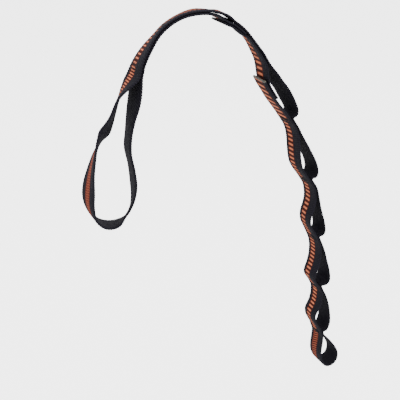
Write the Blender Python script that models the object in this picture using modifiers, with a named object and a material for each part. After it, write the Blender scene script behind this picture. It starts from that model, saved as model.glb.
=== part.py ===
"""Stretching strap: one closed runner of flat nylon webbing, pressed into two
layers and bar-tacked at intervals, so that it forms one big hand or foot loop,
a doubled shoulder and arch, a row of pocket loops and a rounder end loop.

Metres, +Z up.  The strap hangs in the X-Z plane with the webbing's width along
Y.  The origin is on the underside of the arch, where a peg, hook or bar holds
the strap up.  Route points below are in millimetres.

Every strand is an open strip along a smooth route, thickened by Solidify.
The runner is divided where it bends next to a bar tack, with a short clear
hinge gap there, so that each stretch of it can turn about its hinge axis.
"""
import bpy
import math
from mathutils import Vector

# ------------------------------------------------------------ driving sizes
MM = 0.001
WEB_WIDTH = 25.0          # one-inch nylon webbing
WEB_THICK = 2.2           # one layer
LAYER_GAP = 0.3           # clear gap kept between sewn layers
TACK_LENGTH = 8.0         # bar tack, measured along the webbing
TACK_WIDTH = 21.0         # bar tack, measured across the webbing
THREAD_THICK = 0.6        # height of the thread pad over the webbing
THREAD_GAP = 0.2          # clear gap under the thread pad
HINGE_GAP = 2.0           # clear length of runner at each hinge
HOOK_RADIUS = 1.7         # centreline radius where a pocket turns into its tack
FINE = (3.0, 4.0, 1.5)    # step, turn and twist between stations of sewn layers
CUT_GAP = 0.5             # clear gap between pieces of one body

LAYER = (WEB_THICK + LAYER_GAP) / 2.0            # centreline offset of a layer
PAD = LAYER + WEB_THICK / 2.0 + THREAD_GAP + THREAD_THICK / 2.0

# Doubled runner from the shoulder tack over the arch and down to the crest
# tack: (x, z, twist in degrees about the route).
SPINE = [(-72.5, -58.0, -4.0), (-68.0, -48.5, -4.0), (-63.3, -38.0, 3.0),
         (-55.0, -26.0, 10.0), (-45.0, -15.2, 18.0), (-34.0, -6.6, 16.3),
         (-20.0, -0.6, 12.4), (-3.0, 2.35, 4.2), (12.0, 0.8, 2.2),
         (26.0, -4.2, -5.6), (42.5, -13.7, -11.0), (50.5, -21.5, -10.0),
         (58.5, -30.5, -10.0), (66.5, -41.5, -7.0)]

# Stations on the spine, by their x: each tack and each hinge axis.
SHOULDER_TACK_X = -65.4
SHOULDER_HINGE_X = -43.6
ARCH_LEFT_TACK_X = -38.0
ARCH_RIGHT_TACK_X = 7.0
CREST_HINGE_X = 13.2
LENS_END_X = 34.0
CREST_TACK_X = 43.0
LENS_GAP = 2.6

# Big loop, down its left strand, along the bottom and up its right strand:
# (x, z, twist).
BIG_LOOP = [(-69.2, -48.3, -4.0), (-74.0, -53.6, 2.0), (-79.4, -59.8, 13.0),
            (-84.6, -66.5, 24.0), (-88.5, -74.0, 28.0), (-92.7, -83.5, 32.0),
            (-97.2, -91.5, 40.0), (-101.6, -97.8, 46.0), (-106.8, -105.0, 33.0),
            (-112.6, -117.5, 18.0), (-118.2, -134.0, 6.0), (-122.6, -153.0, -7.0),
            (-124.0, -168.0, -6.0), (-121.0, -182.5, 0.0), (-114.0, -192.0, -1.0),
            (-106.0, -196.2, -6.0), (-96.5, -196.6, -16.0), (-86.0, -190.3, -35.0),
            (-79.4, -176.8, -22.0), (-76.5, -157.5, -8.0), (-77.3, -138.5, -7.0),
            (-79.9, -119.5, -7.0), (-78.0, -103.5, -9.0), (-74.7, -88.0, -4.0),
            (-70.8, -74.5, 3.0), (-68.2, -63.0, 4.0), (-67.2, -55.5, 4.0),
            (-66.8, -49.3, 4.0)]
BIG_LOOP_CUTS = (10, 13, 19)         # stations where the loop's nodes meet

# Pocket tacks: start of the tack (x, z) and the lean of the runner there, in
# degrees from straight down towards +X.
TACKS = {"pocket_1": (109.3, -116.8, 37.0),
         "pocket_2": (146.5, -200.0, 36.0),
         "pocket_3": (170.0, -288.9, 27.0),
         "pocket_4": (185.8, -375.0, 27.0),
         "pocket_5": (201.6, -465.6, 22.0)}

# Route of each strand between its tacks, centreline points (x, z).
UPPER_LAP = [(57.6, -31.4, -10.0), (65.3, -42.3, -7.0), (70.9, -51.1, -4.0),
             (73.7, -60.2, -3.0), (74.9, -66.8, -4.0), (77.2, -74.1, -4.0),
             (82.1, -81.3, -4.0), (88.2, -89.5, -3.0)]
LOWER_LAP = [(71.1, -69.7, 4.0), (74.7, -75.5, 4.0), (80.0, -82.8, 4.0),
             (86.1, -90.9, 3.0), (92.3, -98.6, 1.5), (98.4, -105.4, 0.5),
             (104.2, -112.2, 0.0)]
FIRST_POCKET = [(59.6, -29.8, -10.0), (67.8, -40.4, -6.0), (75.7, -52.9, -1.0),
                (84.6, -64.1, 5.0), (91.0, -72.3, 7.0), (98.3, -80.6, 8.0),
                (104.8, -88.9, 8.0), (110.8, -98.7, 7.0), (115.2, -106.3, 4.0),
                (116.5, -110.4, 1.0), (115.6, -113.3, 0.0)]
MAIN = {"pocket_2": [(120.3, -136.0), (123.2, -146.6), (125.2, -158.4),
                     (127.5, -170.3), (131.4, -181.4), (137.6, -190.8)],
        "pocket_3": [(156.6, -219.2, 2.0), (158.9, -231.5, 4.0),
                     (157.8, -242.4, 6.0), (155.0, -252.5, 7.0),
                     (154.6, -260.0, 7.0), (157.0, -269.2, 5.0),
                     (162.2, -278.1, 2.0)],
        "pocket_4": [(178.3, -314.8, 1.0), (178.7, -328.4, 3.0),
                     (176.9, -341.6, 4.0), (173.8, -352.0, 4.0),
                     (173.6, -357.6, 3.0), (175.8, -363.2, 2.0),
                     (179.2, -368.2, 1.0)],
        "pocket_5": [(191.0, -392.0, 1.0), (191.2, -405.5, 3.0),
                     (187.7, -418.4, 4.0), (184.4, -425.2, 4.0),
                     (184.3, -431.0, 4.0), (186.6, -439.5, 3.0),
                     (192.4, -450.0, 1.0), (197.4, -458.4, 0.0)]}
POCKET = {"pocket_2": [(124.9, -137.1), (133.7, -149.9), (142.8, -163.6),
                       (150.9, -176.7), (155.5, -188.0), (156.2, -193.6),
                       (154.4, -197.2)],
          "pocket_3": [(158.2, -215.0), (163.0, -228.9), (167.5, -242.9),
                       (172.8, -256.8), (178.0, -270.2), (180.3, -281.0),
                       (179.6, -285.2), (177.2, -287.3)],
          "pocket_4": [(183.5, -313.2), (190.2, -330.7), (197.5, -350.6),
                       (201.0, -364.5), (201.0, -369.6), (199.2, -373.0),
                       (195.6, -374.4)],
          "pocket_5": [(197.1, -393.3), (204.9, -411.6), (211.0, -432.7),
                       (213.2, -445.0), (213.5, -452.6), (212.2, -459.4),
                       (209.6, -463.8)]}
END_MAIN = [(204.9, -484.0), (205.0, -492.0), (204.7, -500.0), (205.0, -508.0),
            (206.2, -516.0), (208.6, -524.4), (212.4, -532.6), (217.6, -539.9)]
END_BOTTOM = [(224.6, -544.8), (231.2, -545.9), (237.0, -543.9)]
END_SIDE = [(240.4, -539.4), (241.6, -533.4), (241.2, -526.8), (238.8, -519.4),
            (234.7, -511.4), (229.4, -503.1), (224.3, -496.0), (219.2, -489.2),
            (213.6, -482.2)]

ORANGE_BLACK = (0.030, 0.028, 0.034, 1.0)
PLAIN_BLACK = (0.022, 0.021, 0.027, 1.0)
THREAD_BLACK = (0.015, 0.014, 0.018, 1.0)


# ------------------------------------------------------------------- scene
for old in list(bpy.data.objects):
    bpy.data.objects.remove(old, do_unlink=True)

parts = bpy.data.collections.new("stretching_strap")
bpy.context.scene.collection.children.link(parts)


def material(name, colour, roughness):
    m = bpy.data.materials.new(name)
    m.use_nodes = True
    bsdf = m.node_tree.nodes["Principled BSDF"]
    bsdf.inputs["Base Color"].default_value = colour
    bsdf.inputs["Roughness"].default_value = roughness
    bsdf.inputs["Metallic"].default_value = 0.0
    m.diffuse_color = colour
    return m


# --------------------------------------------------------------- geometry
def catmull(rows, per_span=24):
    """Dense centripetal Catmull-Rom samples through rows of equal length."""
    rows = [tuple(r) if len(r) > 2 else (r[0], r[1], 0.0) for r in rows]
    first = tuple(2 * a - b for a, b in zip(rows[0], rows[1]))
    last = tuple(2 * a - b for a, b in zip(rows[-1], rows[-2]))
    pts = [first] + rows + [last]
    out = []
    for i in range(1, len(pts) - 2):
        p0, p1, p2, p3 = pts[i - 1:i + 3]

        def knot(t, a, b):
            return t + max(1e-6, math.hypot(b[0] - a[0], b[1] - a[1])) ** 0.5
        t0 = 0.0
        t1 = knot(t0, p0, p1)
        t2 = knot(t1, p1, p2)
        t3 = knot(t2, p2, p3)
        for k in range(per_span):
            t = t1 + (t2 - t1) * k / per_span
            row = []
            for c in range(3):
                a1 = (t1 - t) / (t1 - t0) * p0[c] + (t - t0) / (t1 - t0) * p1[c]
                a2 = (t2 - t) / (t2 - t1) * p1[c] + (t - t1) / (t2 - t1) * p2[c]
                a3 = (t3 - t) / (t3 - t2) * p2[c] + (t - t2) / (t3 - t2) * p3[c]
                b1 = (t2 - t) / (t2 - t0) * a1 + (t - t0) / (t2 - t0) * a2
                b2 = (t3 - t) / (t3 - t1) * a2 + (t - t1) / (t3 - t1) * a3
                row.append((t2 - t) / (t2 - t1) * b1 + (t - t1) / (t2 - t1) * b2)
            out.append(tuple(row))
    out.append(rows[-1])
    return out


def lengths(samples):
    s = [0.0]
    for a, b in zip(samples, samples[1:]):
        s.append(s[-1] + math.hypot(b[0] - a[0], b[1] - a[1]))
    return s


def at_length(samples, s, want):
    """Sample of a dense route at an arc length."""
    if want <= 0.0:
        return samples[0]
    for i in range(1, len(s)):
        if s[i] >= want:
            f = (want - s[i - 1]) / max(1e-9, s[i] - s[i - 1])
            return tuple(a + (b - a) * f
                         for a, b in zip(samples[i - 1], samples[i]))
    return samples[-1]


def trimmed(samples, start, end):
    """The stretch of a dense route between two arc lengths."""
    s = lengths(samples)
    inner = [p for p, q in zip(samples, s) if start + 1e-6 < q < end - 1e-6]
    return [at_length(samples, s, start)] + inner + [at_length(samples, s, end)]


def economical(samples, max_step=10.0, max_turn=10.0, max_twist=5.0):
    """Fewer samples: closer together where the route bends or twists."""
    cost = [0.0]
    for i in range(1, len(samples)):
        a, b = samples[i - 1], samples[i]
        step = math.hypot(b[0] - a[0], b[1] - a[1])
        turn = 0.0
        if i < len(samples) - 1:
            c = samples[i + 1]
            h1 = math.atan2(b[1] - a[1], b[0] - a[0])
            h2 = math.atan2(c[1] - b[1], c[0] - b[0])
            turn = abs(math.degrees((h2 - h1 + math.pi) % (2 * math.pi) - math.pi))
        cost.append(cost[-1] + step / max_step + turn / max_turn
                    + abs(b[2] - a[2]) / max_twist)
    n = max(2, int(math.ceil(cost[-1])))
    out = []
    j = 0
    for k in range(n + 1):
        want = cost[-1] * k / n
        while j < len(cost) - 2 and cost[j + 1] < want:
            j += 1
        f = (want - cost[j]) / max(1e-9, cost[j + 1] - cost[j])
        f = min(1.0, max(0.0, f))
        out.append(tuple(p + (q - p) * f
                         for p, q in zip(samples[j], samples[j + 1])))
    return out


def heading(samples, i):
    a = samples[max(0, i - 1)]
    b = samples[min(len(samples) - 1, i + 1)]
    d = math.hypot(b[0] - a[0], b[1] - a[1])
    return (b[0] - a[0]) / d, (b[1] - a[1]) / d


def shifted(samples, amount, side):
    """The route moved along its in-plane normal; amount may be a function of
    the fraction of its length."""
    s = lengths(samples)
    out = []
    for i, p in enumerate(samples):
        tx, tz = heading(samples, i)
        nx, nz = -tz * side, tx * side
        off = amount(s[i] / s[-1]) if callable(amount) else amount
        out.append((p[0] + nx * off, p[1] + nz * off, p[2]))
    return out


def strip(name, samples, side, mat, width=WEB_WIDTH, thick=WEB_THICK,
          offset=0.0, across=2, lateral=0.0, fine=False):
    """An open strip along a route, thickened about its middle surface.  side
    picks which in-plane normal is the inner one; twist turns the width
    direction towards that normal."""
    samples = economical(samples, *FINE) if fine else economical(samples)
    verts, faces = [], []
    for i, (x, z, twist) in enumerate(samples):
        tx, tz = heading(samples, i)
        nx, nz = -tz * side, tx * side
        a = math.radians(twist)
        wide = Vector((math.sin(a) * nx, math.cos(a), math.sin(a) * nz))
        face = Vector((math.cos(a) * nx, -math.sin(a), math.cos(a) * nz))
        centre = Vector((x, 0.0, z)) + face * offset + wide * lateral
        for k in range(across + 1):
            verts.append((centre + wide * width * (k / across - 0.5)) * MM)
    row = across + 1
    for i in range(len(samples) - 1):
        for k in range(across):
            a = i * row + k
            faces.append((a, a + 1, a + row + 1, a + row))
    mesh = bpy.data.meshes.new(name)
    mesh.from_pydata([tuple(v) for v in verts], [], faces)
    mesh.update()
    mesh.materials.append(mat)
    ob = bpy.data.objects.new(name, mesh)
    parts.objects.link(ob)
    mod = ob.modifiers.new("thickness", "SOLIDIFY")
    mod.thickness = thick * MM
    mod.offset = 0.0
    mod.use_even_offset = True
    mod.use_quality_normals = True
    mesh.shade_smooth()
    mesh.set_sharp_from_angle(angle=math.radians(40))
    return ob


def lean(degrees):
    """Unit vectors along the runner and to its pocket side."""
    a = math.radians(degrees)
    return (math.sin(a), -math.cos(a)), (math.cos(a), math.sin(a))


def tack_point(name, along, out):
    x, z, angle = TACKS[name]
    d, n = lean(angle)
    return (x + d[0] * along + n[0] * out, z + d[1] * along + n[1] * out)


def hook(name):
    """Points of the tight turn from a pocket's bottom into its tack, in order
    of travel: along the bottom towards the runner, then down into the tack."""
    x, z, angle = TACKS[name]
    d, n = lean(angle)
    ex, ez = tack_point(name, 1.5, LAYER)
    cx, cz = ex + n[0] * HOOK_RADIUS, ez + n[1] * HOOK_RADIUS
    total = 90.0 + angle
    pts = []
    steps = 6
    for k in range(steps, -1, -1):
        t = math.radians(total * k / steps)
        pts.append((cx + HOOK_RADIUS * (-n[0] * math.cos(t) - d[0] * math.sin(t)),
                    cz + HOOK_RADIUS * (-n[1] * math.cos(t) - d[1] * math.sin(t))))
    return pts


TACK_END = TACK_LENGTH + 0.5                 # the node ends just past its tack
NEXT_START = TACK_END + HINGE_GAP            # the next node starts here


def thread_pads(prefix, samples, side, outer_mat, needle_offset, bobbin_offset,
                needle_from=0.0, bobbin_from=0.0):
    """The needle thread lies on one face of the runner, the bobbin thread on
    the other; both are pads of dense zigzag stitches."""
    s = lengths(samples)
    strip(prefix + "_tack_needle_thread", trimmed(samples, needle_from, s[-1]),
          side, outer_mat, width=TACK_WIDTH, thick=THREAD_THICK,
          offset=needle_offset, across=1, fine=True)
    strip(prefix + "_tack_bobbin_thread", trimmed(samples, bobbin_from, s[-1]),
          side, outer_mat, width=TACK_WIDTH, thick=THREAD_THICK,
          offset=bobbin_offset, across=1, fine=True)


web_face = material("striped_webbing", ORANGE_BLACK, 0.78)
web_plain = material("plain_webbing", PLAIN_BLACK, 0.82)
thread = material("sewing_thread", THREAD_BLACK, 0.6)

# ------------------------------------------------- doubled runner, the spine
spine = catmull(SPINE)
spine_s = lengths(spine)


def spine_at(x):
    for i in range(1, len(spine)):
        if spine[i][0] >= x:
            f = (x - spine[i - 1][0]) / (spine[i][0] - spine[i - 1][0])
            return spine_s[i - 1] + (spine_s[i] - spine_s[i - 1]) * f
    return spine_s[-1]


def spine_piece(start, end):
    return trimmed(spine, start, end)


half = HINGE_GAP / 2.0
s_tack0 = spine_at(SHOULDER_TACK_X)
s_hinge_left = spine_at(SHOULDER_HINGE_X)
s_tack1 = spine_at(ARCH_LEFT_TACK_X)
s_tack2 = spine_at(ARCH_RIGHT_TACK_X)
s_hinge_right = spine_at(CREST_HINGE_X)
s_lens_end = spine_at(LENS_END_X)
s_tack3 = spine_at(CREST_TACK_X)
s_loop_hinge = s_tack0 - TACK_LENGTH / 2.0 - 0.5 - half
s_crest_hinge = s_tack3 + TACK_LENGTH / 2.0 + 0.5 + half

# shoulder: doubled stretch between the big loop and the arch
run = spine_piece(s_loop_hinge + half, s_hinge_left - half)
strip("shoulder_outer_web", run, -1, web_face, offset=-LAYER,
      fine=True)
strip("shoulder_inner_web", run, -1, web_plain, offset=LAYER,
      fine=True)
run = spine_piece(s_tack0 - TACK_LENGTH / 2.0, s_tack0 + TACK_LENGTH / 2.0)
thread_pads("shoulder", run, -1, thread, -PAD, PAD)

# arch: the stretch that hangs on the peg
run = spine_piece(s_hinge_left + half, s_hinge_right - half)
strip("arch_outer_web", run, -1, web_face, offset=-LAYER,
      fine=True)
strip("arch_inner_web", run, -1, web_plain, offset=LAYER,
      fine=True)
run = spine_piece(s_tack1 - TACK_LENGTH / 2.0, s_tack1 + TACK_LENGTH / 2.0)
thread_pads("arch_left", run, -1, thread, -PAD, PAD)
run = spine_piece(s_tack2 - TACK_LENGTH / 2.0, s_tack2 + TACK_LENGTH / 2.0)
thread_pads("arch_right", run, -1, thread, -PAD, PAD)

# crest: the narrow lens between the arch and the crest tack
run = spine_piece(s_hinge_right + half, s_crest_hinge - half)
lens_share = (s_lens_end - s_hinge_right) / (s_crest_hinge - s_hinge_right)


def lens(f):
    return LENS_GAP / 2.0 * math.sin(math.pi * min(1.0, f / lens_share)) ** 2


strip("crest_outer_web", shifted(run, lambda f: -lens(f), -1), -1, web_face,
      offset=-LAYER, fine=True)
strip("crest_inner_web", shifted(run, lens, -1), -1, web_plain, offset=LAYER,
      fine=True)
third = LAYER + WEB_THICK + LAYER_GAP
tail = spine_piece(s_hinge_right + 9.0, s_tack3 - TACK_LENGTH / 2.0 - 1.2)
tail_shift = LENS_GAP / 2.0 + 0.1
strip("crest_turned_tail_web", tail, -1, web_plain, offset=third + tail_shift,
      fine=True)
lap = spine_piece(s_tack3 - TACK_LENGTH / 2.0 - 0.6, s_crest_hinge - half)
strip("crest_lap_web", lap, -1, web_face, offset=third, fine=True)
run = spine_piece(s_tack3 - TACK_LENGTH / 2.0, s_tack3 + TACK_LENGTH / 2.0)
thread_pads("crest", run, -1, thread, -PAD, PAD + WEB_THICK + LAYER_GAP)

# ----------------------------------------------------------------- big loop
dense = catmull(BIG_LOOP)
dense_s = lengths(dense)
cuts = [0.0] + [dense_s[c * 24] for c in BIG_LOOP_CUTS] + [dense_s[-1]]
names = ("big_loop_left_upper_web", "big_loop_left_lower_web",
         "big_loop_bottom_web", "big_loop_right_web")
mats = (web_face, web_face, web_plain, web_plain)
for k, nm in enumerate(names):
    a = cuts[k] + (CUT_GAP / 2.0 if k > 0 else 0.0)
    b = cuts[k + 1] - (CUT_GAP / 2.0 if k < len(names) - 1 else 0.0)
    strip(nm, trimmed(dense, a, b), 1, mats[k])

# ----------------------------------------------------------------- pocket 1
joint = at_length(spine, spine_s, s_crest_hinge + half)
tail_rows = [joint]


def off_spine(row, tangent_row, amount):
    dx, dz = tangent_row[0] - row[0], tangent_row[1] - row[1]
    d = math.hypot(dx, dz)
    return (row[0] + dz / d * -amount * -1.0, row[1] - dx / d * -amount * -1.0,
            row[2])


ahead = at_length(spine, spine_s, s_crest_hinge + half + 1.0)
inner_start = off_spine(joint, ahead, LAYER + 0.6)
outer_start = off_spine(joint, ahead, -LAYER)

strip("pocket_1_upper_lap_web", catmull([inner_start] + UPPER_LAP), -1, web_face)
enter = [tack_point("pocket_1", 0.0, -LAYER),
         tack_point("pocket_1", TACK_LENGTH / 2.0, -LAYER),
         tack_point("pocket_1", TACK_END, -LAYER)]
lower = catmull(LOWER_LAP + [p + (0.0,) for p in enter])
strip("pocket_1_lower_lap_web", lower, 1, web_face)
leave = hook("pocket_1") + [tack_point("pocket_1", TACK_LENGTH / 2.0, LAYER),
                            tack_point("pocket_1", TACK_END, LAYER)]
strip("pocket_1_loop_web",
      catmull([outer_start] + FIRST_POCKET + [p + (0.0,) for p in leave]), -1,
      web_plain)

# two rows of lock stitches that close the lap of the runner's two ends
seam = trimmed(lower, 5.0, 27.0)
for label, y in (("far", 8.6), ("near", -8.6)):
    strip("lap_seam_%s_thread" % label, seam, 1, thread, width=1.2,
          thick=0.5, offset=-(WEB_THICK / 2.0 + THREAD_GAP + 0.25), across=1,
          lateral=y)


def straight_tack(name):
    return [tack_point(name, TACK_LENGTH * k / 4.0, 0.0) + (0.0,)
            for k in range(5)]


def pocket_tack(name):
    run = straight_tack(name)
    thread_pads(name, run, 1, thread, -PAD, PAD, 0.0, 3.1)


pocket_tack("pocket_1")

# ------------------------------------------------------------ pockets 2 to 5
order = ["pocket_1", "pocket_2", "pocket_3", "pocket_4", "pocket_5"]
for above, name in zip(order, order[1:]):
    main = ([tack_point(above, NEXT_START, -LAYER),
             tack_point(above, NEXT_START + 3.0, -LAYER)]
            + MAIN[name]
            + [tack_point(name, 0.0, -LAYER),
               tack_point(name, TACK_LENGTH / 2.0, -LAYER),
               tack_point(name, TACK_END, -LAYER)])
    strip(name + "_main_web", catmull(main), 1, web_face)
    loop = ([tack_point(above, NEXT_START, LAYER),
             tack_point(above, NEXT_START + 2.0, LAYER + 0.1)]
            + POCKET[name] + hook(name)
            + [tack_point(name, TACK_LENGTH / 2.0, LAYER),
               tack_point(name, TACK_END, LAYER)])
    strip(name + "_loop_web", catmull(loop), 1, web_plain)
    pocket_tack(name)

# ------------------------------------------------------------------ end loop
ring = ([tack_point("pocket_5", NEXT_START, -LAYER)] + END_MAIN + END_BOTTOM
        + END_SIDE + [tack_point("pocket_5", NEXT_START, LAYER)])
dense = catmull(ring)
dense_s = lengths(dense)
first = len(END_MAIN) * 24
second = (len(END_MAIN) + 1 + len(END_BOTTOM)) * 24
for nm, a, b, mat in (
        ("end_loop_main_web", 0.0, dense_s[first] - CUT_GAP / 2.0, web_face),
        ("end_loop_bottom_web", dense_s[first] + CUT_GAP / 2.0,
         dense_s[second] - CUT_GAP / 2.0, web_plain),
        ("end_loop_side_web", dense_s[second] + CUT_GAP / 2.0, dense_s[-1],
         web_plain)):
    strip(nm, trimmed(dense, a, b), 1, mat)
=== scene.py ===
"""Looks of the stretching strap: fine woven ribbons along the same routes as
the CAD strips, with procedural webbing, tracer stripe, bar tacks and cut ends.
Units in the tables are millimetres; everything placed is in metres."""
import bpy
import math
import numpy as np
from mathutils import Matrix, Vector


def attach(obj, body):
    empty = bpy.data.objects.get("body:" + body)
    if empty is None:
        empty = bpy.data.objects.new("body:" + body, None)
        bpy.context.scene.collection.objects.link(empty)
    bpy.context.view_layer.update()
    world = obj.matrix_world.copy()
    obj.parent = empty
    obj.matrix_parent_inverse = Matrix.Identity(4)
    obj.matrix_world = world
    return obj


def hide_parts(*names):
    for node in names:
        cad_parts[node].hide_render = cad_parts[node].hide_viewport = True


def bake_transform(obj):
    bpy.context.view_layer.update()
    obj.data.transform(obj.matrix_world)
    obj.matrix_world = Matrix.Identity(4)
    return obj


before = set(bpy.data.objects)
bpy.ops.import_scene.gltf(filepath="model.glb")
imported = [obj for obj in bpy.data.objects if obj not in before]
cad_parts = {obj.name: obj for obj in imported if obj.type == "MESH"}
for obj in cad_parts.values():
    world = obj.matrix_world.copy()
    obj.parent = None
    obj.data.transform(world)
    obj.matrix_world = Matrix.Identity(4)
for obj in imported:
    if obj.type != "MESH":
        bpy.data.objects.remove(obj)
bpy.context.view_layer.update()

# ------------------------------------------------------------ driving sizes
MM = 0.001
WEB_WIDTH = 25.0          # one-inch nylon webbing
WEB_THICK = 2.2           # one layer
LAYER_GAP = 0.3           # clear gap kept between sewn layers
TACK_LENGTH = 8.0         # bar tack, measured along the webbing
TACK_WIDTH = 21.0         # bar tack, measured across the webbing
THREAD_THICK = 0.6        # height of the thread pad over the webbing
THREAD_GAP = 0.2          # clear gap under the thread pad
HINGE_GAP = 2.0           # clear length of runner at each hinge
HOOK_RADIUS = 1.7         # centreline radius where a pocket turns into its tack
FINE = (3.0, 4.0, 1.5)    # step, turn and twist between stations of sewn layers
CUT_GAP = 0.5             # clear gap between pieces of one body

LAYER = (WEB_THICK + LAYER_GAP) / 2.0            # centreline offset of a layer
PAD = LAYER + WEB_THICK / 2.0 + THREAD_GAP + THREAD_THICK / 2.0

# Doubled runner from the shoulder tack over the arch and down to the crest
# tack: (x, z, twist in degrees about the route).
SPINE = [(-72.5, -58.0, -4.0), (-68.0, -48.5, -4.0), (-63.3, -38.0, 3.0),
         (-55.0, -26.0, 10.0), (-45.0, -15.2, 18.0), (-34.0, -6.6, 16.3),
         (-20.0, -0.6, 12.4), (-3.0, 2.35, 4.2), (12.0, 0.8, 2.2),
         (26.0, -4.2, -5.6), (42.5, -13.7, -11.0), (50.5, -21.5, -10.0),
         (58.5, -30.5, -10.0), (66.5, -41.5, -7.0)]

# Stations on the spine, by their x: each tack and each hinge axis.
SHOULDER_TACK_X = -65.4
SHOULDER_HINGE_X = -43.6
ARCH_LEFT_TACK_X = -38.0
ARCH_RIGHT_TACK_X = 7.0
CREST_HINGE_X = 13.2
LENS_END_X = 34.0
CREST_TACK_X = 43.0
LENS_GAP = 2.6

# Big loop, down its left strand, along the bottom and up its right strand:
# (x, z, twist).
BIG_LOOP = [(-69.2, -48.3, -4.0), (-74.0, -53.6, 2.0), (-79.4, -59.8, 13.0),
            (-84.6, -66.5, 24.0), (-88.5, -74.0, 28.0), (-92.7, -83.5, 32.0),
            (-97.2, -91.5, 40.0), (-101.6, -97.8, 46.0), (-106.8, -105.0, 33.0),
            (-112.6, -117.5, 18.0), (-118.2, -134.0, 6.0), (-122.6, -153.0, -7.0),
            (-124.0, -168.0, -6.0), (-121.0, -182.5, 0.0), (-114.0, -192.0, -1.0),
            (-106.0, -196.2, -6.0), (-96.5, -196.6, -16.0), (-86.0, -190.3, -35.0),
            (-79.4, -176.8, -22.0), (-76.5, -157.5, -8.0), (-77.3, -138.5, -7.0),
            (-79.9, -119.5, -7.0), (-78.0, -103.5, -9.0), (-74.7, -88.0, -4.0),
            (-70.8, -74.5, 3.0), (-68.2, -63.0, 4.0), (-67.2, -55.5, 4.0),
            (-66.8, -49.3, 4.0)]
BIG_LOOP_CUTS = (10, 13, 19)         # stations where the loop's nodes meet

# Pocket tacks: start of the tack (x, z) and the lean of the runner there, in
# degrees from straight down towards +X.
TACKS = {"pocket_1": (109.3, -116.8, 37.0),
         "pocket_2": (146.5, -200.0, 36.0),
         "pocket_3": (170.0, -288.9, 27.0),
         "pocket_4": (185.8, -375.0, 27.0),
         "pocket_5": (201.6, -465.6, 22.0)}

# Route of each strand between its tacks, centreline points (x, z).
UPPER_LAP = [(57.6, -31.4, -10.0), (65.3, -42.3, -7.0), (70.9, -51.1, -4.0),
             (73.7, -60.2, -3.0), (74.9, -66.8, -4.0), (77.2, -74.1, -4.0),
             (82.1, -81.3, -4.0), (88.2, -89.5, -3.0)]
LOWER_LAP = [(71.1, -69.7, 4.0), (74.7, -75.5, 4.0), (80.0, -82.8, 4.0),
             (86.1, -90.9, 3.0), (92.3, -98.6, 1.5), (98.4, -105.4, 0.5),
             (104.2, -112.2, 0.0)]
FIRST_POCKET = [(59.6, -29.8, -10.0), (67.8, -40.4, -6.0), (75.7, -52.9, -1.0),
                (84.6, -64.1, 5.0), (91.0, -72.3, 7.0), (98.3, -80.6, 8.0),
                (104.8, -88.9, 8.0), (110.8, -98.7, 7.0), (115.2, -106.3, 4.0),
                (116.5, -110.4, 1.0), (115.6, -113.3, 0.0)]
MAIN = {"pocket_2": [(120.3, -136.0), (123.2, -146.6), (125.2, -158.4),
                     (127.5, -170.3), (131.4, -181.4), (137.6, -190.8)],
        "pocket_3": [(156.6, -219.2, 2.0), (158.9, -231.5, 4.0),
                     (157.8, -242.4, 6.0), (155.0, -252.5, 7.0),
                     (154.6, -260.0, 7.0), (157.0, -269.2, 5.0),
                     (162.2, -278.1, 2.0)],
        "pocket_4": [(178.3, -314.8, 1.0), (178.7, -328.4, 3.0),
                     (176.9, -341.6, 4.0), (173.8, -352.0, 4.0),
                     (173.6, -357.6, 3.0), (175.8, -363.2, 2.0),
                     (179.2, -368.2, 1.0)],
        "pocket_5": [(191.0, -392.0, 1.0), (191.2, -405.5, 3.0),
                     (187.7, -418.4, 4.0), (184.4, -425.2, 4.0),
                     (184.3, -431.0, 4.0), (186.6, -439.5, 3.0),
                     (192.4, -450.0, 1.0), (197.4, -458.4, 0.0)]}
POCKET = {"pocket_2": [(124.9, -137.1), (133.7, -149.9), (142.8, -163.6),
                       (150.9, -176.7), (155.5, -188.0), (156.2, -193.6),
                       (154.4, -197.2)],
          "pocket_3": [(158.2, -215.0), (163.0, -228.9), (167.5, -242.9),
                       (172.8, -256.8), (178.0, -270.2), (180.3, -281.0),
                       (179.6, -285.2), (177.2, -287.3)],
          "pocket_4": [(183.5, -313.2), (190.2, -330.7), (197.5, -350.6),
                       (201.0, -364.5), (201.0, -369.6), (199.2, -373.0),
                       (195.6, -374.4)],
          "pocket_5": [(197.1, -393.3), (204.9, -411.6), (211.0, -432.7),
                       (213.2, -445.0), (213.5, -452.6), (212.2, -459.4),
                       (209.6, -463.8)]}
END_MAIN = [(204.9, -484.0), (205.0, -492.0), (204.7, -500.0), (205.0, -508.0),
            (206.2, -516.0), (208.6, -524.4), (212.4, -532.6), (217.6, -539.9)]
END_BOTTOM = [(224.6, -544.8), (231.2, -545.9), (237.0, -543.9)]
END_SIDE = [(240.4, -539.4), (241.6, -533.4), (241.2, -526.8), (238.8, -519.4),
            (234.7, -511.4), (229.4, -503.1), (224.3, -496.0), (219.2, -489.2),
            (213.6, -482.2)]
TACK_END = TACK_LENGTH + 0.5
NEXT_START = TACK_END + HINGE_GAP

# ------------------------------------------------------------ looks' sizes
STEP = 0.52               # distance between ribbon stations
PICOT = 2.6               # length of one picot along the edge
RIB = 2.6                 # length of one weave rib
HALF = WEB_WIDTH / 2.0

# ------------------------------------------------------------------ camera
cam_data = bpy.data.cameras.new("camera")
cam_data.lens = 46.8
cam_data.sensor_width = 36.0
cam_data.clip_start = 0.01
cam_data.clip_end = 20.0
cam = bpy.data.objects.new("camera", cam_data)
bpy.context.scene.collection.objects.link(cam)
AIM = Vector((0.0, 0.0, -0.195))
AZ, EL, DIST = math.radians(-28.8), math.radians(28.1), 0.5735
BACK = Vector((math.sin(AZ) * math.cos(EL), -math.cos(AZ) * math.cos(EL),
               math.sin(EL)))
cam.location = AIM + BACK * DIST
cam.rotation_mode = "QUATERNION"
cam.rotation_quaternion = (-BACK).to_track_quat("-Z", "Y")
bpy.context.scene.camera = cam


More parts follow.
